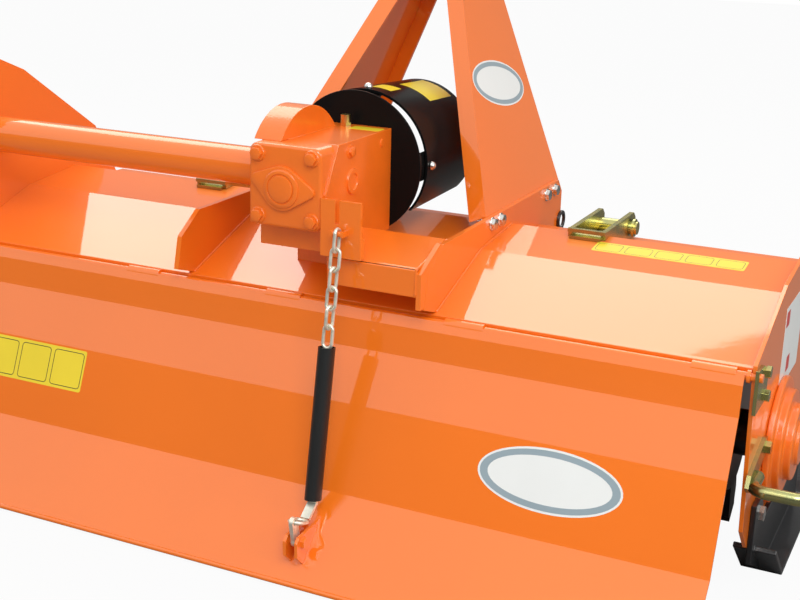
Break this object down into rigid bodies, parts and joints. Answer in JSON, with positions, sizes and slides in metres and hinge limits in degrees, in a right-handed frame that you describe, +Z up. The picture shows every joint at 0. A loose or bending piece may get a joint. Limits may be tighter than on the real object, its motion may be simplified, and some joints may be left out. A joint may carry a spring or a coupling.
{
  "type": "rotary tiller",
  "caption": "Tractor-mounted rotary tiller with a hooded tine rotor, A-frame hitch mast, central gearbox with a drive shaft guard, side drive, hinged rear flap on a chain, and skids.",
  "frame": {"origin": "on the ground under the middle of the machine's outline, as seen from above", "axes": "+X to the right as seen from behind the machine, +Y in the direction of travel, +Z up"},
  "size_m": [1.562, 0.7949, 0.929],
  "materials": {
    "orange_paint": "gloss orange paint on steel sheet",
    "cast_orange": "gloss orange paint on castings",
    "black_plastic": "black plastic",
    "black_rubber": "black rubber sleeve",
    "black_steel": "black painted steel",
    "zinc_yellow": "yellow zinc plated steel",
    "zinc_silver": "bright zinc plated steel",
    "brass": "brass",
    "steel": "machined steel"
  },
  "bodies": {
    "frame": {"hood": "orange_paint", "front_tube": "orange_paint", "end_plates": "orange_paint", "hub_covers": "cast_orange", "gear_case": "cast_orange", "gear_case_cover": "orange_paint", "axle_tube": "orange_paint", "support_beam": "orange_paint", "gearbox_body": "cast_orange", "gearbox_cover": "cast_orange", "gearbox_plugs": "brass", "bracket_plates": "orange_paint", "mast_legs": "orange_paint", "top_link_plates": "orange_paint", "mast_bolts": "zinc_silver", "guard_collar": "black_plastic", "guard_hood": "black_plastic", "guard_bolts": "zinc_silver", "hitch_clamps": "zinc_yellow", "hitch_pins": "zinc_yellow", "leg_clips": "black_steel", "chain_holder": "orange_paint", "flap_rod": "orange_paint", "hinge_straps": "zinc_yellow", "skids": "black_steel", "skid_bolts": "zinc_silver", "side_hoop": "zinc_yellow"},
    "flap": {"flap": "orange_paint", "flap_lug": "orange_paint"},
    "rotor": {"rotor_shaft": "black_steel", "tines": "black_steel"},
    "input_shaft": {"pto_shaft": "steel"},
    "chain_top": {"chain_links": "zinc_silver"},
    "chain_bottom": {"chain_sleeve": "black_rubber", "chain_end": "zinc_silver"}
  },
  "joints": [
    {"name": "flap_hinge", "type": "hinge", "parent": "frame", "child": "flap", "pos_m": [0, -0.18711, 0.368], "axis": [-1, 0, 0], "range_deg": [0, 40]},
    {"name": "rotor_spin", "type": "hinge", "parent": "frame", "child": "rotor", "pos_m": [0, 0.03389, 0.2], "axis": [-1, 0, 0], "continuous": true},
    {"name": "input_spin", "type": "hinge", "parent": "frame", "child": "input_shaft", "pos_m": [0, -0.03111, 0.552], "axis": [0, 1, 0], "continuous": true},
    {"name": "chain_top_hinge", "type": "hinge", "parent": "frame", "child": "chain_top", "pos_m": [0.095, -0.25211, 0.498], "axis": [-1, 0, 0], "range_deg": [0, 31.5]},
    {"name": "chain_bottom_hinge", "type": "hinge", "parent": "flap", "child": "chain_bottom", "pos_m": [0.096, -0.37111, 0.069], "axis": [1, 0, 0], "range_deg": [0, 9.2]}
  ],
  "couplings": [
    {"joint": "input_spin", "follows": "rotor_spin", "ratio": 2.5},
    {"joint": "chain_top_hinge", "follows": "flap_hinge", "ratio": 0.775},
    {"joint": "chain_bottom_hinge", "follows": "flap_hinge", "ratio": 0.225}
  ]
}
